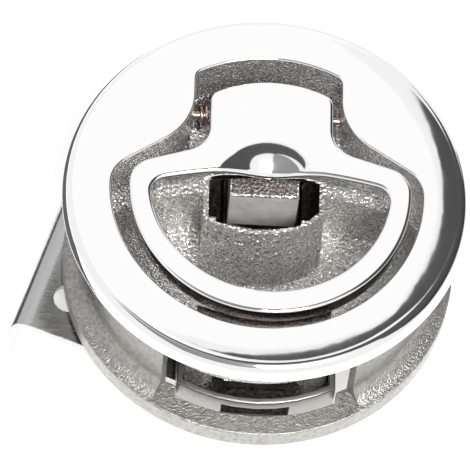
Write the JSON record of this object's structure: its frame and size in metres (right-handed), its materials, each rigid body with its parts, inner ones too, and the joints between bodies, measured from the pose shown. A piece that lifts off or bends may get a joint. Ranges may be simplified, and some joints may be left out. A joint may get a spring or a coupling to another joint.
{
  "type": "flush pull latch",
  "caption": "Round flush latch for a panel hole: a lifting handle in a recessed face draws back a sprung sliding bolt, with a clamp ring behind and a bent strike plate.",
  "frame": {"origin": "centre of the panel hole, in the back plane of the flange, which rests on the panel's face", "axes": "+Z out of the panel towards the user, +Y towards the nose of the bolt, +X to the right of a user who has the bolt at the top"},
  "size_m": [0.0718, 0.0698, 0.0396],
  "materials": {
    "cast_steel": "cast stainless steel, face mirror polished, recess left as cast",
    "polished_steel": "cast stainless steel, mirror polished",
    "pin_steel": "drawn stainless steel, heat tinted",
    "spring_steel": "coiled stainless wire, heat tinted",
    "bolt_steel": "cast stainless steel, blasted",
    "cover_steel": "stainless steel, satin",
    "screw_steel": "turned stainless steel",
    "ring_steel": "cast stainless steel, bead blasted",
    "sheet_steel": "folded stainless sheet, mill polished"
  },
  "bodies": {
    "body": {"housing": "cast_steel", "pivot_pin": "pin_steel", "handle_spring": "spring_steel", "bolt_spring": "spring_steel", "back_cover": "cover_steel", "cover_screw_front_left": "screw_steel", "cover_screw_front_right": "screw_steel", "cover_screw_rear_left": "screw_steel", "cover_screw_rear_right": "screw_steel", "clamp_ring": "ring_steel", "clamp_screw_left": "screw_steel", "clamp_screw_right": "screw_steel", "strike_plate": "sheet_steel"},
    "handle": {"handle": "polished_steel"},
    "bolt": {"bolt": "bolt_steel"}
  },
  "joints": [
    {"name": "handle_lift", "type": "hinge", "parent": "body", "child": "handle", "pos_m": [0, 0.0162, -0.0018], "axis": [-1, 0, 0], "range_deg": [0, 35], "stiffness_Nm_per_rad": 0.06, "springref_deg": -20.05, "deforming": ["handle_spring"]},
    {"name": "bolt_slide", "type": "slide", "parent": "body", "child": "bolt", "axis": [0, -1, 0], "range_m": [0, 0.0042], "stiffness_N_per_m": 8, "springref_m": -0.004, "deforming": ["bolt_spring"]}
  ],
  "couplings": [
    {"joint": "bolt_slide", "follows": "handle_lift", "m_per_rad": 0.0068755}
  ]
}
